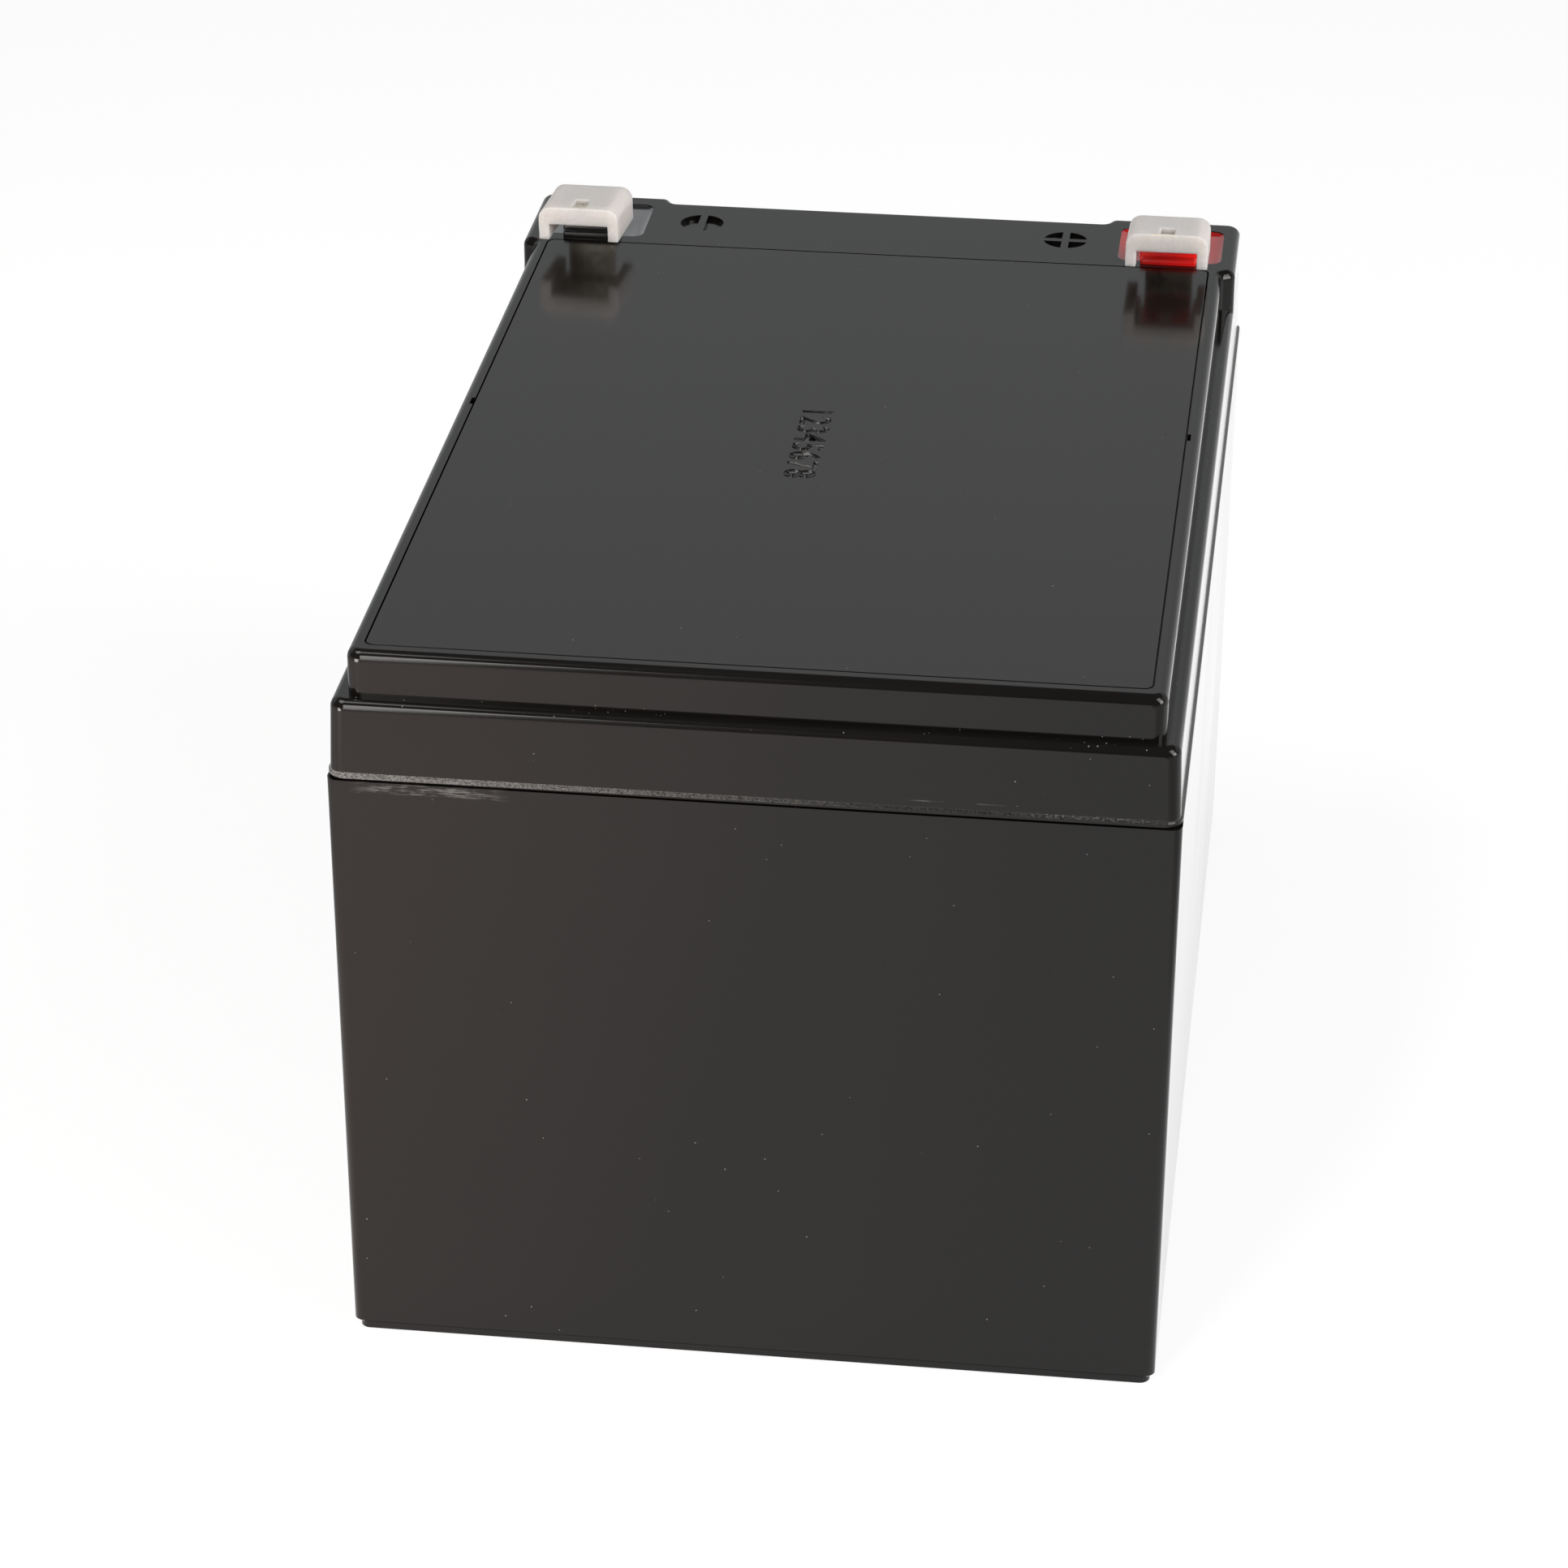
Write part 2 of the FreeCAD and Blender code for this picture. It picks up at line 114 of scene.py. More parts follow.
def math_in(tree, operation, a, b=None, c=None, clamp=False):
    """One step of arithmetic on numbers and sockets."""
    node = node_in(tree, "ShaderNodeMath", operation=operation, use_clamp=clamp)
    for socket, value in zip(node.inputs, (a, b, c)):
        if value is None:
            continue
        if isinstance(value, (int, float)):
            socket.default_value = value
        else:
            wire(tree, value, socket)
    return node.outputs[0]


def mix_colours(tree, factor, low, high):
    node = node_in(tree, "ShaderNodeMix", data_type="RGBA")
    for socket, value in ((node.inputs[0], factor), (node.inputs[6], low), (node.inputs[7], high)):
        if isinstance(value, (int, float, tuple)):
            socket.default_value = value
        else:
            wire(tree, value, socket)
    return node.outputs[2]


TABLE_SIZE = 14.0
TABLE_GLOW = 0.82
TABLE_PAINT = (0.24, 0.24, 0.24, 1)
PAPER_IN_GLOSS = 0.97
PAPER_HALF_WIDTH = 0.09
ROOM_IN_GLOSS = 0.40
PLAIN_LIGHT = (1.0, 1.0, 1.0, 1)
WARM_LIGHT = (1.0, 0.83, 0.785, 1)
WARM_SHARE = 0.50
WARM_FADE_X = (0.035, -0.09)
WARM_FADE_Y = (-0.05, -0.09)
RIGHT_SHEET_SHARE = 0.20
RIGHT_SHEET_FADE_X = (0.045, 0.055)
RIGHT_SHEET_FADE_Y = (-0.080, -0.070)
bpy.ops.mesh.primitive_plane_add(size=TABLE_SIZE, location=(0, 0, 0))
table = bpy.context.object
table.name = "studio_table"
table_paint, tree = new_material("table_paint")
path = tree.nodes.new("ShaderNodeLightPath")
seen = math_in(tree, "MAXIMUM", path.outputs["Is Camera Ray"], path.outputs["Is Transmission Ray"])
glossy = path.outputs["Is Glossy Ray"]
place = tree.nodes.new("ShaderNodeTexCoord")
axes = split_in(tree, place.outputs["Object"])
beside = fade(tree, math_in(tree, "ABSOLUTE", axes["X"]), PAPER_HALF_WIDTH, 2 * PAPER_HALF_WIDTH)
in_gloss = math_in(tree, "MULTIPLY_ADD", beside, ROOM_IN_GLOSS - PAPER_IN_GLOSS, PAPER_IN_GLOSS)
warm_across = fade(tree, axes["X"], *WARM_FADE_X)
warm_along = fade(tree, axes["Y"], *WARM_FADE_Y)
warm_side = math_in(tree, "MULTIPLY", math_in(tree, "MULTIPLY", warm_across, warm_along), glossy)
in_gloss = math_in(tree, "MULTIPLY_ADD", warm_side, WARM_SHARE, in_gloss)
sheet_across = fade(tree, axes["X"], *RIGHT_SHEET_FADE_X)
sheet_along = fade(tree, axes["Y"], *RIGHT_SHEET_FADE_Y)
right_sheet = math_in(tree, "MULTIPLY", sheet_across, sheet_along)
in_gloss = math_in(tree, "MULTIPLY_ADD", right_sheet, RIGHT_SHEET_SHARE, in_gloss)
in_gloss = math_in(tree, "MULTIPLY", glossy, in_gloss)
strength = math_in(tree, "MAXIMUM", math_in(tree, "MULTIPLY", seen, TABLE_GLOW), in_gloss)
glow = tree.nodes.new("ShaderNodeEmission")
wire(tree, mix_colours(tree, warm_side, PLAIN_LIGHT, WARM_LIGHT), glow.inputs["Color"])
wire(tree, strength, glow.inputs["Strength"])
paint = node_in(tree, "ShaderNodeBsdfDiffuse", Color=TABLE_PAINT)
both = tree.nodes.new("ShaderNodeAddShader")
wire(tree, glow.outputs[0], both.inputs[0])
wire(tree, paint.outputs[0], both.inputs[1])
put_on_surface(tree, both)
table.data.materials.append(table_paint)

HORIZON = (0.94, 0.94, 0.94, 1)
FAR_WALL = (0.51, 0.525, 0.535, 1)
FAR_WALL_TOP = (0.70, 0.71, 0.715, 1)
DIM_ROOM = (0.10, 0.10, 0.105, 1)
FAR_SIDE_FADE = (0.0, 0.35)
WALL_UPPER_FADE = (0.34, 0.48)
WALL_END_FADE = (0.66, 0.50)
HORIZON_FADE = (0.03, 0.0)
room = bpy.data.worlds.new("studio_room")
scene.world = room
room.use_nodes = True
tree = room.node_tree
tree.nodes.clear()
direction = tree.nodes.new("ShaderNodeTexCoord")
axes = split_in(tree, direction.outputs["Generated"])
far_side = fade(tree, axes["Y"], *FAR_SIDE_FADE)
low_down = fade(tree, axes["Z"], *WALL_END_FADE)
tall_wall = mix_colours(tree, fade(tree, axes["Z"], *WALL_UPPER_FADE), FAR_WALL, FAR_WALL_TOP)
wall = mix_colours(tree, math_in(tree, "MULTIPLY", far_side, low_down), DIM_ROOM, tall_wall)
background = tree.nodes.new("ShaderNodeBackground")
seen_colour = mix_colours(tree, fade(tree, axes["Z"], *HORIZON_FADE), wall, HORIZON)
wire(tree, seen_colour, background.inputs["Color"])
out = tree.nodes.new("ShaderNodeOutputWorld")
wire(tree, background.outputs[0], out.inputs["Surface"])


def soft_lamp(name, place, aim, width, depth, watts, colour):
    """A rectangular lamp that shines at a point and that the camera doesn't see."""
    place = Vector(place)
    bpy.ops.object.light_add(type="AREA", location=place)
    lamp = bpy.context.object
    lamp.name = name
    lamp.data.shape = "RECTANGLE"
    lamp.data.size = width
    lamp.data.size_y = depth
    lamp.data.energy = watts
    lamp.data.color = colour
    lamp.visible_camera = False
    lamp.rotation_euler = (Vector(aim) - place).to_track_quat("-Z", "Y").to_euler()
    return lamp


soft_lamp("lamp_over_left", (-0.42, -0.10, 0.95), (0, 0, 0.06), 0.42, 0.42, 3.3, (1.0, 0.985, 0.97))
soft_lamp("lamp_over_right", (0.55, -0.25, 0.62), (0, 0, 0.06), 0.34, 0.42, 2.5, (0.99, 0.99, 0.99))
soft_lamp("lamp_right", (0.85, -0.30, 0.35), (0, 0, 0.05), 0.4, 0.4, 5.0, (1.0, 0.98, 0.97))
soft_lamp("window_front_left", (-0.27, -0.88, 0.50), (-0.05, 0, 0.25), 0.14, 0.80, 3.4, (1.0, 0.98, 0.96))
lamp_low = soft_lamp("lamp_low_left", (-0.20, -0.26, 0.06), (-0.04, 0.05, 0.09), 0.10, 0.10, 0.55,
                     (1.0, 0.95, 0.91))
lamp_low.data.specular_factor = 0.0


# Jar
#
# The container is one injection moulding in black ABS, with six cells inside, slightly
# tapered walls and a small plinth. It has picked up fine dust, a few rubs and the faint
# clouding that such plastic shows in flat light.


def group_of(name, inputs, outputs):
    """An empty node group with its sockets, its group input and its group output."""
    group = bpy.data.node_groups.new(name, "ShaderNodeTree")
    for label, kind, value in inputs:
        socket = group.interface.new_socket(name=label, in_out="INPUT", socket_type=kind)
        if value is not None:
            socket.default_value = value
    for label, kind in outputs:
        group.interface.new_socket(name=label, in_out="OUTPUT", socket_type=kind)
    return group, group.nodes.new("NodeGroupInput"), group.nodes.new("NodeGroupOutput")


def placed(tree, group, **values):
    """A group placed in a tree, with its inputs set by name."""
    node = tree.nodes.new("ShaderNodeGroup")
    node.node_tree = group
    for name, value in values.items():
        node.inputs[name.replace("_", " ")].default_value = value
    return node


def specks_in(tree, cells, share, size):
    """1 in the middle of this share of the cells, in spots of up to this size."""
    chance = tree.nodes.new("ShaderNodeSeparateColor")
    wire(tree, cells.outputs["Color"], chance.inputs[0])
    chosen = math_in(tree, "LESS_THAN", chance.outputs["Red"], share)
    grown = math_in(tree, "MULTIPLY", chance.outputs["Green"], size)
    near = math_in(tree, "LESS_THAN", cells.outputs["Distance"], grown)
    return math_in(tree, "MULTIPLY", chosen, near)


def ramp(tree, value, start, end, low, high):
    """A straight line from low at start to high at end."""
    node = node_in(tree, "ShaderNodeMapRange", From_Min=start, From_Max=end, To_Min=low, To_Max=high)
    wire(tree, value, node.inputs["Value"])
    return node.outputs["Result"]


def vector_math(tree, operation, a, b=None):
    node = node_in(tree, "ShaderNodeVectorMath", operation=operation)
    wire(tree, a, node.inputs[0])
    if b is not None:
        wire(tree, b, node.inputs[1])
    return node.outputs[0]


# Clouding: broad soft patches, from 0 to 1, that shift tone and gloss a little.
clouding, given, put = group_of("moulding_clouds", [("Scale", "NodeSocketFloat", 25.0)],
                                [("Clouds", "NodeSocketFloat"), ("Grain", "NodeSocketFloat")])
where = clouding.nodes.new("ShaderNodeTexCoord")
broad = node_in(clouding, "ShaderNodeTexNoise", Detail=3.0, Roughness=0.55)
fine = node_in(clouding, "ShaderNodeTexNoise", Scale=2600.0, Detail=2.0, Roughness=0.6)
wire(clouding, where.outputs["Object"], broad.inputs["Vector"])
wire(clouding, where.outputs["Object"], fine.inputs["Vector"])
wire(clouding, given.outputs["Scale"], broad.inputs["Scale"])
wire(clouding, broad.outputs["Fac"], put.inputs["Clouds"])
wire(clouding, fine.outputs["Fac"], put.inputs["Grain"])

# Dust: sparse specks of up to a tenth of a millimetre, and a pale film on what faces up that is partly dust
# and partly painted light, lifting the tops above the sides.
dust, given, put = group_of("settled_dust_and_top_light", [("Specks per metre", "NodeSocketFloat", 600.0),
                                             ("Share", "NodeSocketFloat", 0.20),
                                             ("Size", "NodeSocketFloat", 0.055)],
                            [("Specks", "NodeSocketFloat"), ("Top light and dust film", "NodeSocketFloat")])
where = dust.nodes.new("ShaderNodeTexCoord")
cells = node_in(dust, "ShaderNodeTexVoronoi", Randomness=1.0)
wire(dust, where.outputs["Object"], cells.inputs["Vector"])
wire(dust, given.outputs["Specks per metre"], cells.inputs["Scale"])
wire(dust, specks_in(dust, cells, given.outputs["Share"], given.outputs["Size"]), put.inputs["Specks"])
facing = split_in(dust, where.outputs["Normal"])
wire(dust, math_in(dust, "MULTIPLY", facing["Z"], 1.0, clamp=True), put.inputs["Top light and dust film"])

# Corner dust: finer specks, close together, in a thin layer at one level.
CORNER_SHARE = 0.24
CORNER_SIZE = 0.20
corner_dust, given, put = group_of("corner_dust", [("Level", "NodeSocketFloat", 0.0),
                                                   ("Height", "NodeSocketFloat", 0.0006)],
                                   [("Specks", "NodeSocketFloat")])
where = corner_dust.nodes.new("ShaderNodeTexCoord")
axes = split_in(corner_dust, where.outputs["Object"])
cells = node_in(corner_dust, "ShaderNodeTexVoronoi", Scale=2000.0, Randomness=1.0)
wire(corner_dust, where.outputs["Object"], cells.inputs["Vector"])
specks = specks_in(corner_dust, cells, CORNER_SHARE, CORNER_SIZE)
away = math_in(corner_dust, "ABSOLUTE", math_in(corner_dust, "SUBTRACT", axes["Z"], given.outputs["Level"]))
close = math_in(corner_dust, "LESS_THAN", away, given.outputs["Height"])
wire(corner_dust, math_in(corner_dust, "MULTIPLY", close, specks), put.inputs["Specks"])

# Rubs: pale streaks inside a box round Centre, drawn out along X.
RUB_CORE = 0.45
RUB_CONTRAST = 7.0
rubs, given, put = group_of("pale_rub", [("Centre", "NodeSocketVector", None),
                                         ("Half size", "NodeSocketVector", None),
                                         ("Grain", "NodeSocketVector", None),
                                         ("Cover", "NodeSocketFloat", 0.5)],
                            [("Rub", "NodeSocketFloat")])
where = rubs.nodes.new("ShaderNodeTexCoord")
offset = vector_math(rubs, "SUBTRACT", where.outputs["Object"], given.outputs["Centre"])
outwards = vector_math(rubs, "ABSOLUTE", vector_math(rubs, "DIVIDE", offset, given.outputs["Half size"]))
axes = split_in(rubs, outwards)
furthest = math_in(rubs, "MAXIMUM", math_in(rubs, "MAXIMUM", axes["X"], axes["Y"]), axes["Z"])
inside = fade(rubs, furthest, 1.0, RUB_CORE)
drawn = vector_math(rubs, "MULTIPLY", where.outputs["Object"], given.outputs["Grain"])
streaks = node_in(rubs, "ShaderNodeTexNoise", Scale=1.0, Detail=5.0, Roughness=0.7)
wire(rubs, drawn, streaks.inputs["Vector"])
limit = math_in(rubs, "SUBTRACT", 1.0, given.outputs["Cover"])
above = math_in(rubs, "SUBTRACT", streaks.outputs["Fac"], limit)
strong = math_in(rubs, "MULTIPLY", above, RUB_CONTRAST, clamp=True)
wire(rubs, math_in(rubs, "MULTIPLY", strong, inside), put.inputs["Rub"])

# Flange highlight: pale specks painted as a highlight in a band between two levels, wide and
# full at the left and narrow and faint at the right, as the light falls. The band is also duller.
HIGHLIGHT_LEFT = -0.050
HIGHLIGHT_RISE_END = 0.020
HIGHLIGHT_RISE = 0.00030
HIGHLIGHT_THIN_END = 0.015
HIGHLIGHT_FULL = 0.85
HIGHLIGHT_THIN = 0.12
HIGHLIGHT_SPECK_CONTRAST = 5.0
HIGHLIGHT_SPECK_LEVEL = -1.7
painted_flange_highlight, given, put = group_of("painted_flange_highlight", [("Low", "NodeSocketFloat", 0.0),
                                                 ("High", "NodeSocketFloat", 0.0)],
                                  [("Haze", "NodeSocketFloat"), ("Highlight grains", "NodeSocketFloat")])
where = painted_flange_highlight.nodes.new("ShaderNodeTexCoord")
axes = split_in(painted_flange_highlight, where.outputs["Object"])
rise = ramp(painted_flange_highlight, axes["X"], HIGHLIGHT_LEFT, HIGHLIGHT_RISE_END, 0.0, HIGHLIGHT_RISE)
foot = math_in(painted_flange_highlight, "ADD", given.outputs["Low"], rise)
above = math_in(painted_flange_highlight, "GREATER_THAN", axes["Z"], foot)
below = math_in(painted_flange_highlight, "LESS_THAN", axes["Z"], given.outputs["High"])
band = math_in(painted_flange_highlight, "MULTIPLY", above, below)
fullness = ramp(painted_flange_highlight, axes["X"], HIGHLIGHT_LEFT, HIGHLIGHT_THIN_END, HIGHLIGHT_FULL, HIGHLIGHT_THIN)
wire(painted_flange_highlight, math_in(painted_flange_highlight, "MULTIPLY", band, fullness), put.inputs["Haze"])
highlight_noise = node_in(painted_flange_highlight, "ShaderNodeTexNoise", Scale=6500.0, Detail=2.0, Roughness=0.6)
wire(painted_flange_highlight, where.outputs["Object"], highlight_noise.inputs["Vector"])
highlight_speckle = math_in(painted_flange_highlight, "MULTIPLY_ADD", highlight_noise.outputs["Fac"], HIGHLIGHT_SPECK_CONTRAST, HIGHLIGHT_SPECK_LEVEL)
highlight_speckle = math_in(painted_flange_highlight, "MULTIPLY", highlight_speckle, fullness)
highlight_grains = math_in(painted_flange_highlight, "MULTIPLY", highlight_speckle, band, clamp=True)
wire(painted_flange_highlight, highlight_grains, put.inputs["Highlight grains"])


def colour_on(tree, shader, factor, low, high):
    """Let a factor from 0 to 1 lead the base colour from low to high."""
    wire(tree, mix_colours(tree, factor, low, high), shader.inputs["Base Color"])


def roughness_on(tree, shader, factor, share, least):
    """Let a share of the factor add to the least roughness."""
    wire(tree, math_in(tree, "MULTIPLY_ADD", factor, share, least), shader.inputs["Roughness"])


def bump_on(tree, shader, height, strength, distance):
    """Let a height bend the shader's normals."""
    bump = node_in(tree, "ShaderNodeBump", Strength=strength, Distance=distance)
    wire(tree, height, bump.inputs["Height"])
    wire(tree, bump.outputs[0], shader.inputs["Normal"])


BLACK_PLASTIC = (0.0045, 0.0038, 0.0033, 1)
CLOUDED_PLASTIC = (0.0068, 0.0058, 0.0051, 1)
DUST_AND_TOP_LIGHT_COLOUR = (0.62, 0.60, 0.57, 1)
RUB_AND_HIGHLIGHT_COLOUR = (0.22, 0.21, 0.20, 1)
CLOUDS_DULL = 0.06
# How far up-facing faces are lifted towards the pale colour: partly dust, partly painted light.
TOP_LIGHT_AND_DUST_FILM = 0.002
DUST_SHOWS = 0.35
CORNER_DUST_SHOWS = 0.26
RUB_SHOWS = 0.6
RUB_DULLS = 0.3
HAZE_DULLS = 0.30
GRAINS_STAND = 2.0


def black_plastic(name, roughness, rub_places=(), highlight_levels=None, corner_level=None):
    """Black ABS with clouding, dust, a pale film on up-facing faces that is partly painted light,
    and its own rubs. Each rub is centre, half size, grain and cover.

    highlight_levels is the lowest and highest level of a band of pale specks painted as a highlight
    on the flange, and corner_level is the level of an inner corner that holds dust, where the piece
    has them.
    """
    material, tree = new_material(name)
    clouds = placed(tree, clouding, Scale=22.0)
    colour = mix_colours(tree, clouds.outputs["Clouds"], BLACK_PLASTIC, CLOUDED_PLASTIC)
    gloss = math_in(tree, "MULTIPLY_ADD", clouds.outputs["Clouds"], CLOUDS_DULL, roughness)
    settled = placed(tree, dust)
    # The film on up-facing faces is partly dust and partly painted light that makes the tops lighter than
    # the sides.
    top_light_and_dust_film = math_in(tree, "MULTIPLY", settled.outputs["Top light and dust film"], TOP_LIGHT_AND_DUST_FILM)
    colour = mix_colours(tree, top_light_and_dust_film, colour, DUST_AND_TOP_LIGHT_COLOUR)
    specks = math_in(tree, "MULTIPLY", settled.outputs["Specks"], DUST_SHOWS)
    colour = mix_colours(tree, specks, colour, DUST_AND_TOP_LIGHT_COLOUR)
    if corner_level is not None:
        gathered = placed(tree, corner_dust, Level=corner_level)
        specks = math_in(tree, "MULTIPLY", gathered.outputs["Specks"], CORNER_DUST_SHOWS)
        colour = mix_colours(tree, specks, colour, DUST_AND_TOP_LIGHT_COLOUR)
    for centre, half, grain, cover in rub_places:
        rub = placed(tree, rubs, Centre=centre, Half_size=half, Grain=grain, Cover=cover).outputs["Rub"]
        colour = mix_colours(tree, math_in(tree, "MULTIPLY", rub, RUB_SHOWS), colour, RUB_AND_HIGHLIGHT_COLOUR)
        gloss = math_in(tree, "ADD", gloss, math_in(tree, "MULTIPLY", rub, RUB_DULLS), clamp=True)
    height = clouds.outputs["Grain"]
    if highlight_levels is not None:
        band = placed(tree, painted_flange_highlight, Low=highlight_levels[0], High=highlight_levels[1])
        # The band's pale specks are a painted highlight along the flange.
        colour = mix_colours(tree, band.outputs["Highlight grains"], colour, RUB_AND_HIGHLIGHT_COLOUR)
        haze = math_in(tree, "MULTIPLY", band.outputs["Haze"], HAZE_DULLS)
        gloss = math_in(tree, "ADD", gloss, haze, clamp=True)
        height = math_in(tree, "MULTIPLY_ADD", band.outputs["Highlight grains"], GRAINS_STAND, height)
    shader = node_in(tree, "ShaderNodeBsdfPrincipled", Specular_IOR_Level=0.29)
    wire(tree, colour, shader.inputs["Base Color"])
    wire(tree, gloss, shader.inputs["Roughness"])
    bump_on(tree, shader, height, strength=0.06, distance=0.00002)
    put_on_surface(tree, shader)
    return material


def finish_node(name, material):
    """A CAD node keeps its mesh and takes this material in its slot."""
    slots = nodes[name].data.materials
    slots.clear()
    slots.append(material)


CASE_ROUGHNESS = 0.09
JAR_RUBS = (
    ((-0.0370, -0.0755, 0.0746), (0.0098, 0.003, 0.0008), (420.0, 300.0, 3800.0), 0.54),
    ((0.0043, -0.0755, 0.0480), (0.0030, 0.003, 0.0046), (2600.0, 2600.0, 2600.0), 0.33),
)
finish_node("jar", black_plastic("jar_plastic", CASE_ROUGHNESS, JAR_RUBS))


# Lid
#
# The lid is a second black moulding, glued into the rim of the jar. Its flange carries a
# painted highlight of pale specks that fades from left to right, and is rubbed at the right.
# Dust lies in the corner of its shelf.

LID_RUBS = (
    ((0.0234, -0.0750, 0.07703), (0.0062, 0.003, 0.00010), (160.0, 90.0, 900.0), 0.56),
    ((0.0385, -0.0752, 0.07618), (0.0095, 0.003, 0.00022), (2600.0, 1500.0, 6500.0), 0.50),
)
# The levels of the flange band that carries the painted highlight.
LID_HIGHLIGHT_LEVELS = (0.07562, 0.07628)
SHELF_LEVEL = 0.0851
finish_node("lid", black_plastic("lid_plastic", CASE_ROUGHNESS, LID_RUBS, LID_HIGHLIGHT_LEVELS, SHELF_LEVEL))


# Vent cover plate
#
# A flat plate is pressed into the lid over the valves and held by a few spots of glue.
# A plain running number is stamped into it, and the tool has left its strokes glossy.


def fresh_start():
    """Object mode with nothing selected, so that the next tool works on its own piece only."""
    if bpy.context.object is not None and bpy.context.object.mode != "OBJECT":
        bpy.ops.object.mode_set(mode="OBJECT")
    bpy.ops.object.select_all(action="DESELECT")


def pick(piece):
    """Object mode with this piece active and nothing else selected."""
    fresh_start()
    bpy.context.view_layer.objects.active = piece
    piece.select_set(True)


def block(name, low, high):
    """A cube drawn out between two corners in metres, with its place in its mesh."""
    fresh_start()
    middle = [(a + b) / 2 for a, b in zip(low, high)]
    bpy.ops.mesh.primitive_cube_add(size=1.0, location=middle, scale=[b - a for a, b in zip(low, high)])
    piece = bpy.context.object
    piece.name = name
    bpy.ops.object.transform_apply(location=True, rotation=True, scale=True)
    return piece


def round_edges(piece, wanted, width, segments):
    """Round off the edges whose two ends pass the test."""
    pick(piece)
    bpy.ops.object.mode_set(mode="EDIT")
    bpy.ops.mesh.select_all(action="DESELECT")
    bpy.ops.mesh.select_mode(type="EDGE")
    bpy.ops.object.mode_set(mode="OBJECT")
    points = piece.data.vertices
    for edge in piece.data.edges:
        edge.select = wanted(points[edge.vertices[0]].co, points[edge.vertices[1]].co)
    bpy.ops.object.mode_set(mode="EDIT")
    bpy.ops.mesh.bevel(offset=width, segments=segments, profile=0.5)
    bpy.ops.object.mode_set(mode="OBJECT")


def upright(a, b):
    return abs(a.x - b.x) < TINY and abs(a.y - b.y) < TINY


def cut_out(piece, cutter, crosses_itself=False):
    """Take the cutter out of the piece and throw the cutter away."""
    pick(piece)
    taking = piece.modifiers.new("cut", "BOOLEAN")
    taking.operation = "DIFFERENCE"
    taking.solver = "EXACT"
    taking.use_self = crosses_itself
    taking.object = cutter
    bpy.ops.object.modifier_apply(modifier=taking.name)
    bpy.data.objects.remove(cutter, do_unlink=True)


SHARP_ANGLE = radians(30)


def soften(piece, width, segments):
    """Break every sharp edge by this width, and shade the rest as smooth."""
    pick(piece)
    rounding = piece.modifiers.new("edges", "BEVEL")
    rounding.width = width
    rounding.segments = segments
    rounding.limit_method = "ANGLE"
    rounding.angle_limit = SHARP_ANGLE
    bpy.ops.object.modifier_apply(modifier=rounding.name)
    bpy.ops.object.shade_smooth_by_angle(angle=SHARP_ANGLE)


def flat_faces_rule(piece):
    """Let the large flat faces set the normals, so that only the rounded edges bend the light."""
    pick(piece)
    weighing = piece.modifiers.new("normals", "WEIGHTED_NORMAL")
    weighing.weight = 100
    weighing.keep_sharp = True
    bpy.ops.object.modifier_apply(modifier=weighing.name)


PLATE_CORNER = 1.02 * MM
PLATE_CORNER_STEPS = 5
PLATE_EDGE = 0.12 * MM
PLATE_EDGE_STEPS = 2
PLATE_ROUGHNESS = 0.12
NUMBER_PLACE = Vector((-3.35, 3.6, 0.0)) * MM
NUMBER_SIZE = 5.5 * MM
STROKE_DEPTH = 0.25 * MM
STROKE_SWELL = 0.10 * MM
CUTTER_HEIGHT = 3 * STROKE_DEPTH
plate_low, plate_high = [Vector(corner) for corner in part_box("vent_cover_plate")]
plate = block("vent_plate", plate_low, plate_high)
round_edges(plate, upright, PLATE_CORNER, PLATE_CORNER_STEPS)
soften(plate, PLATE_EDGE, PLATE_EDGE_STEPS)

fresh_start()
bpy.ops.object.text_add(location=(NUMBER_PLACE.x, NUMBER_PLACE.y, plate_high.z - STROKE_DEPTH),
                        rotation=(0, 0, radians(-90)))
number = bpy.context.object
number.data.body = "12345678"
number.data.size = NUMBER_SIZE
number.data.offset = STROKE_SWELL
bpy.ops.object.convert(target="MESH")
bpy.ops.object.transform_apply(location=True, rotation=True, scale=True)
bpy.ops.object.mode_set(mode="EDIT")
bpy.ops.mesh.select_all(action="SELECT")
bpy.ops.mesh.extrude_region_move(TRANSFORM_OT_translate={"value": (0, 0, CUTTER_HEIGHT)})
bpy.ops.mesh.select_all(action="SELECT")
bpy.ops.mesh.remove_doubles(threshold=TINY)
bpy.ops.mesh.normals_make_consistent(inside=False)
cut_out(plate, number, crosses_itself=True)
flat_faces_rule(plate)

PRESSED_DARK = (0.006, 0.005, 0.005, 1)
PRESSED_LIGHT = (0.016, 0.014, 0.012, 1)
pressed, tree = new_material("pressed_strokes")
clouds = placed(tree, clouding, Scale=900.0)
shader = tree.nodes.new("ShaderNodeBsdfPrincipled")
colour_on(tree, shader, clouds.outputs["Clouds"], PRESSED_DARK, PRESSED_LIGHT)
roughness_on(tree, shader, clouds.outputs["Grain"], share=0.2, least=0.08)
bump_on(tree, shader, clouds.outputs["Clouds"], strength=0.5, distance=0.0001)
put_on_surface(tree, shader)

RIM_WIDTH = 2 * MM
LEAST_DEPTH = 0.01 * MM
MOST_DEPTH = 1.2 * STROKE_DEPTH
plate.data.materials.append(black_plastic("plate_plastic", PLATE_ROUGHNESS))
plate.data.materials.append(pressed)
for face in plate.data.polygons:
    in_rim = abs(face.center.x) >= plate_high.x - RIM_WIDTH or face.center.y <= plate_low.y + RIM_WIDTH
    depth = plate_high.z - face.center.z
    if not in_rim and LEAST_DEPTH < depth < MOST_DEPTH:
        face.material_index = 1
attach(plate, "root")
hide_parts("vent_cover_plate")


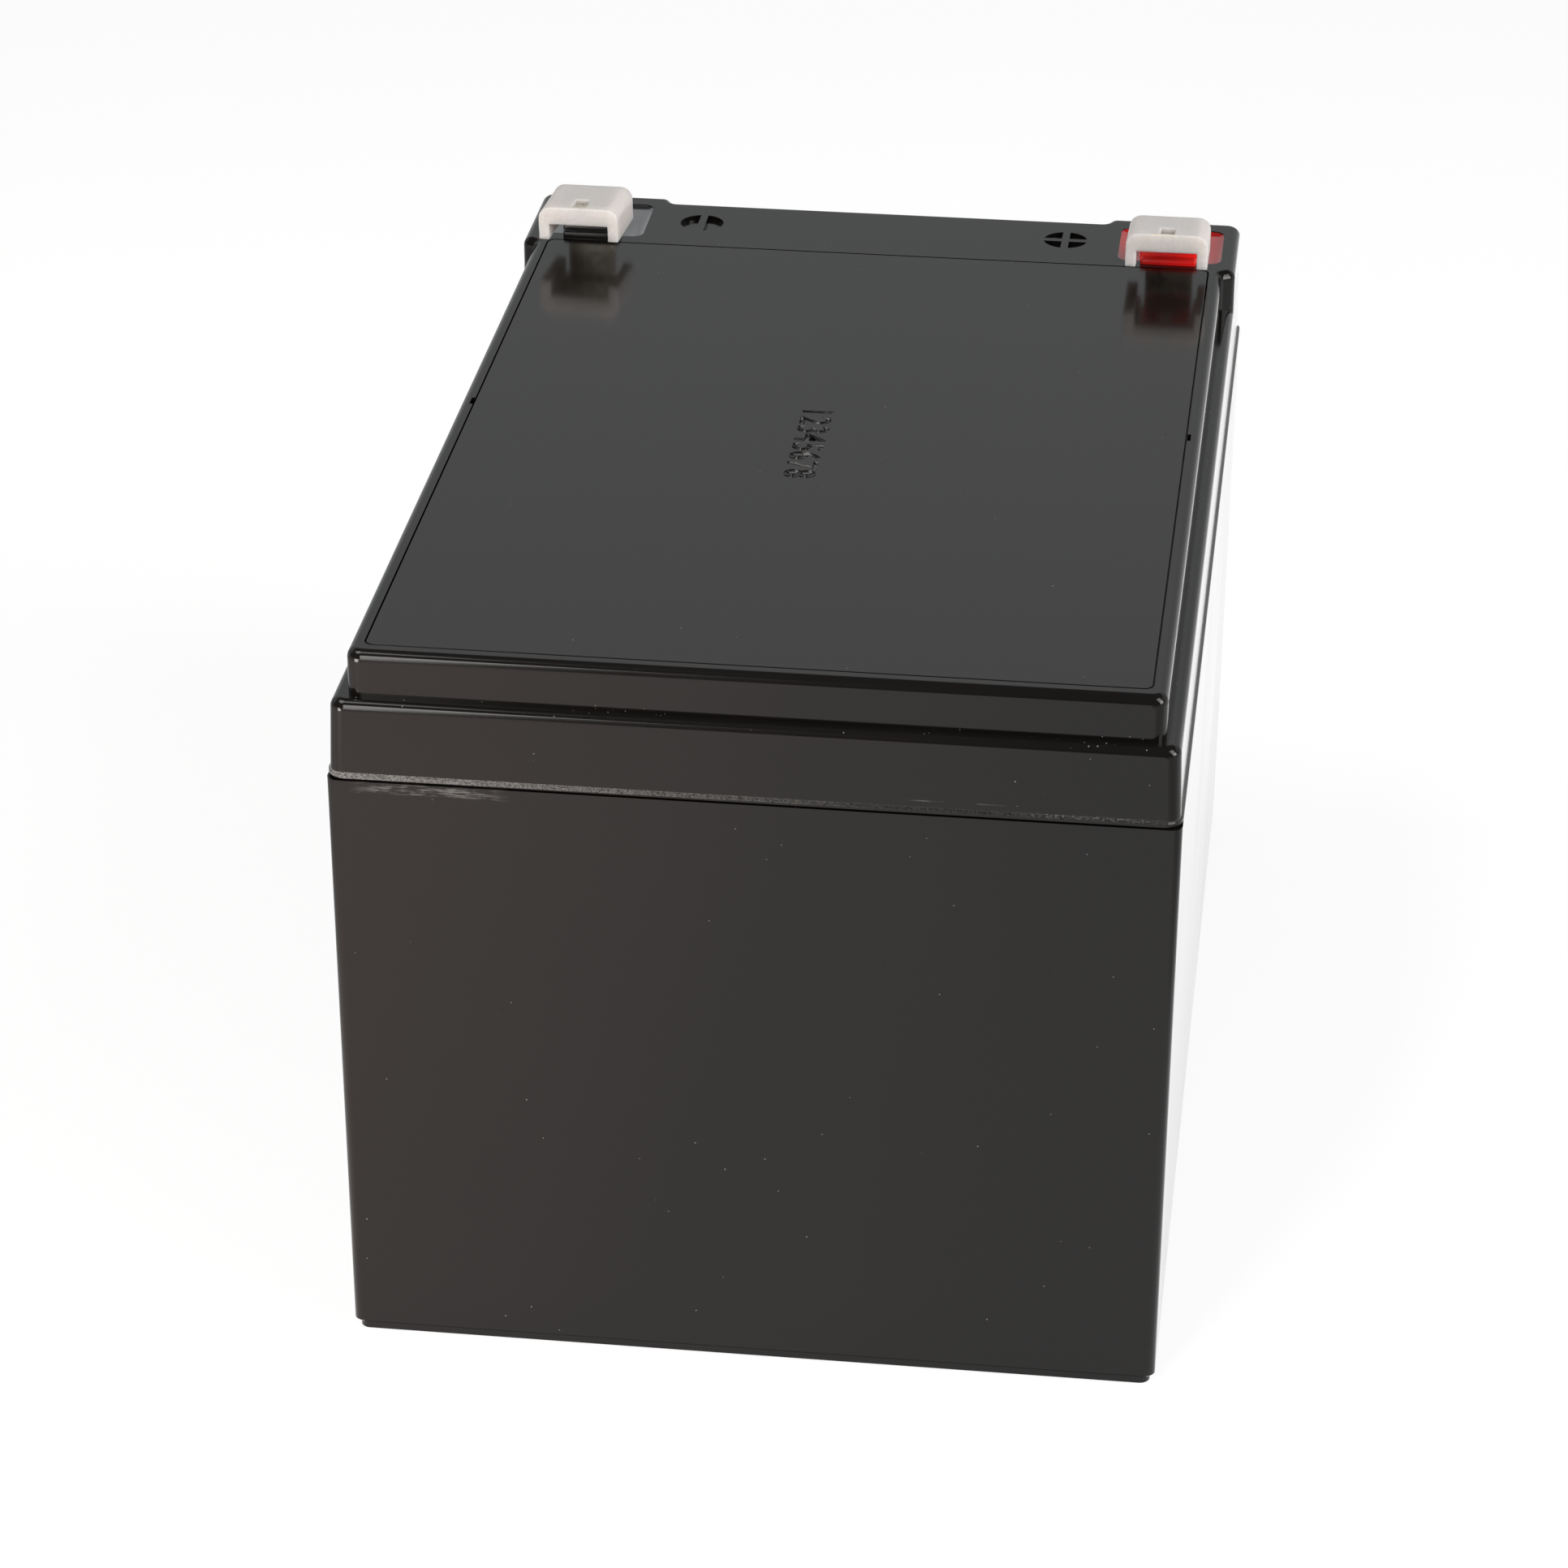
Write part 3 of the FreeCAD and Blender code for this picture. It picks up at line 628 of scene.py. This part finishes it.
# Blade terminals
#
# Each terminal is a strip of tin plated brass, bent twice, with a hole near its tip. The
# tin is bright where the press has smoothed it and dull where it was soldered.


def plain_metal(name, colour, worn, roughness, scale):
    """Bare metal with soft patches of this scale that are worn and duller."""
    material, tree = new_material(name)
    clouds = placed(tree, clouding, Scale=scale)
    shader = node_in(tree, "ShaderNodeBsdfPrincipled", Metallic=1.0)
    colour_on(tree, shader, clouds.outputs["Clouds"], colour, worn)
    roughness_on(tree, shader, clouds.outputs["Clouds"], share=0.2, least=roughness)
    bump_on(tree, shader, clouds.outputs["Clouds"], strength=0.2, distance=0.00002)
    put_on_surface(tree, shader)
    return material


TIN = ((0.78, 0.76, 0.70, 1), (0.60, 0.56, 0.45, 1))
tin = plain_metal("tin_plating", *TIN, roughness=0.18, scale=400.0)
for pole in ("negative", "positive"):
    finish_node("terminal_" + pole, tin)


# Sealing resin
#
# Resin is poured into each pocket, black for minus and red for plus. It creeps a little up
# the walls of the pocket and stands in a heap round the stem of the blade, which it holds.


def resin(name, deep, thin, skin, roughness):
    """Poured resin, with a glossy skin of this weight."""
    material, tree = new_material(name)
    clouds = placed(tree, clouding, Scale=160.0)
    shader = node_in(tree, "ShaderNodeBsdfPrincipled", Coat_Weight=skin, Coat_Roughness=0.12)
    colour_on(tree, shader, clouds.outputs["Clouds"], deep, thin)
    roughness_on(tree, shader, clouds.outputs["Clouds"], share=0.08, least=roughness)
    bump_on(tree, shader, clouds.outputs["Clouds"], strength=0.2, distance=0.0001)
    put_on_surface(tree, shader)
    return material


def copy_of(piece, name):
    """A copy with a mesh of its own, picked."""
    twin = piece.copy()
    twin.data = piece.data.copy()
    twin.name = name
    bpy.context.collection.objects.link(twin)
    pick(twin)
    return twin


POCKET_CORNER = 1.5 * MM
POCKET_CORNER_STEPS = 5
CREEP = 0.30 * MM
CREEP_WIDTH = 0.98 * MM
CREEP_STEPS = ((0.25, 0.14 * MM), (0.25, 0.09 * MM), (0.5, 0.07 * MM))
CREEP_SHADE = radians(50)
FACES_UP = 0.9
STEM_NEAR = 59.95 * MM
STEM_HALF_WIDTH = 3.175 * MM
STEM_THICKNESS = 0.8 * MM
HEAP_HALF_WIDTH = 3.9 * MM
HEAP_NEAR = 59.36 * MM
HEAP_FAR = 61.5 * MM
HEAP_TOP = 92.15 * MM
HEAP_FOOT_DEPTH = 1.2 * MM
HEAP_ROUND = 0.4 * MM
LIP_HALF_WIDTH = 3.7 * MM
LIP_NEAR = 58.0 * MM
LIP_TOP = 91.4 * MM
LIP_IN_HEAP = 0.3 * MM
LIP_ROUND = 0.3 * MM
ROUND_STEPS = 4

seal_low, seal_high = [Vector(corner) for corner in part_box("epoxy_seal_negative")]
seal_high.z += CREEP
stem_x = (seal_low.x + seal_high.x) / 2
black_seal = block("resin_negative", seal_low, seal_high)
round_edges(black_seal, upright, POCKET_CORNER, POCKET_CORNER_STEPS)
bpy.ops.object.mode_set(mode="EDIT")
bpy.ops.mesh.select_all(action="DESELECT")
bpy.ops.mesh.select_mode(type="FACE")
bpy.ops.object.mode_set(mode="OBJECT")
for face in black_seal.data.polygons:
    face.select = face.normal.z > FACES_UP
bpy.ops.object.mode_set(mode="EDIT")
for share, drop in CREEP_STEPS:
    bpy.ops.mesh.inset(thickness=share * CREEP_WIDTH, depth=-drop)
bpy.ops.object.mode_set(mode="OBJECT")
bpy.ops.object.shade_smooth_by_angle(angle=CREEP_SHADE)

heap = block("resin_heap", (stem_x - HEAP_HALF_WIDTH, HEAP_NEAR, seal_high.z - HEAP_FOOT_DEPTH),
             (stem_x + HEAP_HALF_WIDTH, HEAP_FAR, HEAP_TOP))
soften(heap, HEAP_ROUND, ROUND_STEPS)
lip = block("resin_lip", (stem_x - LIP_HALF_WIDTH, LIP_NEAR, seal_high.z),
            (stem_x + LIP_HALF_WIDTH, HEAP_NEAR + LIP_IN_HEAP, LIP_TOP))
soften(lip, LIP_ROUND, ROUND_STEPS)
for piece in (heap, black_seal):
    cut_out(piece, block("stem_space", (stem_x - STEM_HALF_WIDTH, STEM_NEAR, seal_low.z - MM),
                         (stem_x + STEM_HALF_WIDTH, STEM_NEAR + STEM_THICKNESS, HEAP_TOP + MM)))

BLACK_POOL = ((0.012, 0.012, 0.013, 1), (0.024, 0.023, 0.024, 1))
# The black heap and its lip are painted darker than the black pool: painted shade under the cap.
BLACK_HEAP_PAINTED_SHADE = ((0.006, 0.006, 0.006, 1), (0.012, 0.011, 0.010, 1))
RED_POOL = ((0.34, 0.005, 0.004, 1), (0.41, 0.007, 0.006, 1))
# The red heap is painted far lighter than the red pool: painted light on resin in the cap's shade.
RED_HEAP_PAINTED_LIGHT = ((0.80, 0.008, 0.007, 1), (0.92, 0.012, 0.010, 1))
black_seal.data.materials.append(resin("black_resin", *BLACK_POOL, skin=1.0, roughness=0.06))
shaded_heap_resin = resin("black_resin_heap_painted_shade", *BLACK_HEAP_PAINTED_SHADE, skin=0.0, roughness=0.35)
heap.data.materials.append(shaded_heap_resin)
lip.data.materials.append(shaded_heap_resin)
pick(black_seal)
heap.select_set(True)
lip.select_set(True)
bpy.ops.object.join()

red_seal = copy_of(black_seal, "resin_positive")
bpy.ops.transform.translate(value=(-2 * stem_x, 0, 0))
bpy.ops.object.transform_apply(location=True, rotation=True, scale=True)
red_seal.data.materials[0] = resin("red_resin", *RED_POOL, skin=0.3, roughness=0.06)
red_seal.data.materials[1] = resin("red_resin_heap_painted_light", *RED_HEAP_PAINTED_LIGHT, skin=0.0, roughness=0.30)
for seal, pole, slot_name in ((black_seal, "negative", "black_epoxy"), (red_seal, "positive", "red_epoxy")):
    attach(seal, "root")
    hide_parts("epoxy_seal_" + pole)


# Terminal caps
#
# Milky clear covers in soft polyethylene are pushed over the blades for transport. Each is
# a channel closed at the front, with rounded shoulders and a window over the blade. The
# left one sits turned, and the right one tips up with its blade.

# A thin amber line is painted on the front of the roof, a painted glint where the cut end of
# the blade would shine through.
MILK_DARK = (0.625, 0.576, 0.545, 1)
MILK_LIGHT = (0.668, 0.622, 0.592, 1)
MOTTLE_FADE = (0.30, 0.70)
AMBER_GLINT_COLOUR = (0.86, 0.68, 0.46, 1)
AMBER_GLINT_SHOWS = 0.7
AMBER_GLINT_MIDDLE = 39.0 * MM
AMBER_GLINT_PLACE = 49.15 * MM
AMBER_GLINT_FADE_X = (2.0 * MM, 1.5 * MM)
AMBER_GLINT_FADE_Y = (0.26 * MM, 0.08 * MM)
AMBER_GLINT_FADE_Z = (98.0 * MM, 98.15 * MM)

milky, tree = new_material("milky_polyethylene")
clouds = placed(tree, clouding, Scale=2200.0)
mottled = fade(tree, clouds.outputs["Clouds"], *MOTTLE_FADE)
milk = mix_colours(tree, mottled, MILK_DARK, MILK_LIGHT)
where = tree.nodes.new("ShaderNodeTexCoord")
axes = split_in(tree, where.outputs["Object"])
# Painted glint: an amber line on the roof over the blade's cut end.
from_middle = math_in(tree, "SUBTRACT", math_in(tree, "ABSOLUTE", axes["X"]), AMBER_GLINT_MIDDLE)
from_glint = math_in(tree, "SUBTRACT", axes["Y"], AMBER_GLINT_PLACE)
across = fade(tree, math_in(tree, "ABSOLUTE", from_middle), *AMBER_GLINT_FADE_X)
along = fade(tree, math_in(tree, "ABSOLUTE", from_glint), *AMBER_GLINT_FADE_Y)
on_roof = fade(tree, axes["Z"], *AMBER_GLINT_FADE_Z)
amber_glint = math_in(tree, "MULTIPLY", math_in(tree, "MULTIPLY", across, along), on_roof)
milk = mix_colours(tree, math_in(tree, "MULTIPLY", amber_glint, AMBER_GLINT_SHOWS), milk, AMBER_GLINT_COLOUR)
shader = node_in(tree, "ShaderNodeBsdfPrincipled", Roughness=0.36, Specular_IOR_Level=0.35,
                 Subsurface_Weight=0.9, Subsurface_Radius=(1.0, 0.93, 0.88), Subsurface_Scale=0.0040)
wire(tree, milk, shader.inputs["Base Color"])
bump_on(tree, shader, clouds.outputs["Clouds"], strength=0.25, distance=0.00004)
put_on_surface(tree, shader)

CAP_SHOULDER = 1.6 * MM
SHOULDER_STEPS = 6
CAP_EDGE = 0.40 * MM
LEG_GAP = 4.03 * MM
BODY_UNDER = 96.1 * MM
BLADE_TOP = 97.6 * MM
BLADE_GAP = 3.5 * MM
FRONT_WALL = 1.35 * MM
WINDOW_FRONT = 0.75 * MM
WINDOW_HALF = 0.95 * MM
WINDOW_LENGTH = 2.9 * MM
WINDOW_OVERLAP = 0.3 * MM
LEFT_TURN = radians(4.4)
LEFT_LEAN = radians(1.6)
LEFT_MOVE = Vector((-0.12, 0.15, -0.25)) * MM
RIGHT_TIP = radians(5.0)
RIGHT_MOVE = Vector((0.09, 0.40, -0.10)) * MM

cap_low, cap_high = [Vector(corner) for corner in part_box("terminal_cap_negative")]
cap_x = (cap_low.x + cap_high.x) / 2
window_near = cap_low.y + WINDOW_FRONT


def roof_side(a, b):
    """Along the roof's left or right side."""
    return min(a.z, b.z) > cap_high.z - TINY and abs(a.x - b.x) < TINY


left_cap = block("cap_negative", cap_low, cap_high)
round_edges(left_cap, roof_side, CAP_SHOULDER, SHOULDER_STEPS)
cut_out(left_cap, block("leg_space", (cap_x - LEG_GAP, cap_low.y - MM, cap_low.z - MM),
                        (cap_x + LEG_GAP, cap_high.y + MM, BODY_UNDER)))
cut_out(left_cap, block("blade_space", (cap_x - BLADE_GAP, cap_low.y + FRONT_WALL, BODY_UNDER - MM),
                        (cap_x + BLADE_GAP, cap_high.y + MM, BLADE_TOP)))
cut_out(left_cap, block("window_space", (cap_x - WINDOW_HALF, window_near, BLADE_TOP - WINDOW_OVERLAP),
                        (cap_x + WINDOW_HALF, window_near + WINDOW_LENGTH, cap_high.z + MM)))
soften(left_cap, CAP_EDGE, ROUND_STEPS)
flat_faces_rule(left_cap)
left_cap.data.materials.append(milky)

right_cap = copy_of(left_cap, "cap_positive")
right_hinge = (-cap_x, cap_low.y, cap_high.z)
bpy.ops.transform.translate(value=(-2 * cap_x, 0, 0))
bpy.ops.object.transform_apply(location=True, rotation=True, scale=True)
bpy.ops.transform.rotate(value=RIGHT_TIP, orient_axis="X", center_override=right_hinge)
bpy.ops.transform.translate(value=RIGHT_MOVE)
bpy.ops.object.transform_apply(location=True, rotation=True, scale=True)

pick(left_cap)
left_hinge = (cap_x, cap_low.y, cap_high.z)
bpy.ops.transform.rotate(value=LEFT_TURN, orient_axis="Z", center_override=left_hinge)
bpy.ops.transform.rotate(value=LEFT_LEAN, orient_axis="Y", center_override=left_hinge)
bpy.ops.transform.translate(value=LEFT_MOVE)
bpy.ops.object.transform_apply(location=True, rotation=True, scale=True)
for cap, pole in ((left_cap, "negative"), (right_cap, "positive")):
    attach(cap, "root")
    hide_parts("terminal_cap_" + pole)


# Tipped blade
#
# The positive blade tips up a little at its bend, with the cap that sits on it. Its stem
# and foot are straight and stay as the CAD model has them.

BEND_FOOT = 94.0 * MM
bent_blade = copy_of(nodes["terminal_positive"], "blade_positive")
bpy.ops.object.mode_set(mode="EDIT")
bpy.ops.mesh.select_all(action="SELECT")
bpy.ops.mesh.remove_doubles(threshold=TINY)
bpy.ops.mesh.select_all(action="DESELECT")
bpy.ops.mesh.select_mode(type="VERT")
bpy.ops.object.mode_set(mode="OBJECT")
for point in bent_blade.data.vertices:
    point.select = point.co.z > BEND_FOOT
bpy.ops.object.mode_set(mode="EDIT")
bpy.ops.transform.rotate(value=RIGHT_TIP, orient_axis="X", center_override=right_hinge)
bpy.ops.transform.translate(value=RIGHT_MOVE)
pick(bent_blade)
bpy.ops.object.shade_smooth_by_angle(angle=SHARP_ANGLE)
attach(bent_blade, "root")
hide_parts("terminal_positive")


# Valves, straps and plates
#
# Inside, rubber cups close the vent chimneys, cast lead straps join the cells, and pasted
# plates stand between glass mats. None of it shows while the battery is closed.

RUBBER_DARK = (0.022, 0.022, 0.022, 1)
RUBBER_LIGHT = (0.045, 0.044, 0.042, 1)
rubber, tree = new_material("valve_rubber")
clouds = placed(tree, clouding, Scale=500.0)
shader = node_in(tree, "ShaderNodeBsdfPrincipled", Roughness=0.7)
colour_on(tree, shader, clouds.outputs["Clouds"], RUBBER_DARK, RUBBER_LIGHT)
put_on_surface(tree, shader)
finish_node("valve_caps", rubber)


def rough_powder(name, low, high, relief):
    """Paste or mat: a soft mottled colour with a fine grain that stands up."""
    material, tree = new_material(name)
    clouds = placed(tree, clouding, Scale=240.0)
    shader = node_in(tree, "ShaderNodeBsdfPrincipled", Roughness=0.85)
    colour_on(tree, shader, clouds.outputs["Clouds"], low, high)
    bump_on(tree, shader, clouds.outputs["Grain"], strength=0.6, distance=relief)
    put_on_surface(tree, shader)
    return material


LEAD = ((0.30, 0.31, 0.33, 1), (0.20, 0.205, 0.215, 1))
BROWN = ((0.045, 0.018, 0.010, 1), (0.080, 0.034, 0.018, 1))
GREY = ((0.16, 0.165, 0.17, 1), (0.25, 0.255, 0.26, 1))
GLASS = ((0.74, 0.74, 0.72, 1), (0.86, 0.86, 0.84, 1))
lead = plain_metal("cast_lead", *LEAD, roughness=0.45, scale=260.0)
brown_paste = rough_powder("brown_paste", *BROWN, relief=0.0001)
grey_paste = rough_powder("grey_paste", *GREY, relief=0.0001)
glass_mat = rough_powder("glass_mat", *GLASS, relief=0.0002)
for start, filling in (("cell_link", lead), ("end_strap", lead), ("positive_plates", brown_paste),
                       ("negative_plates", grey_paste), ("separators", glass_mat)):
    for name in nodes:
        if name.startswith(start):
            finish_node(name, filling)
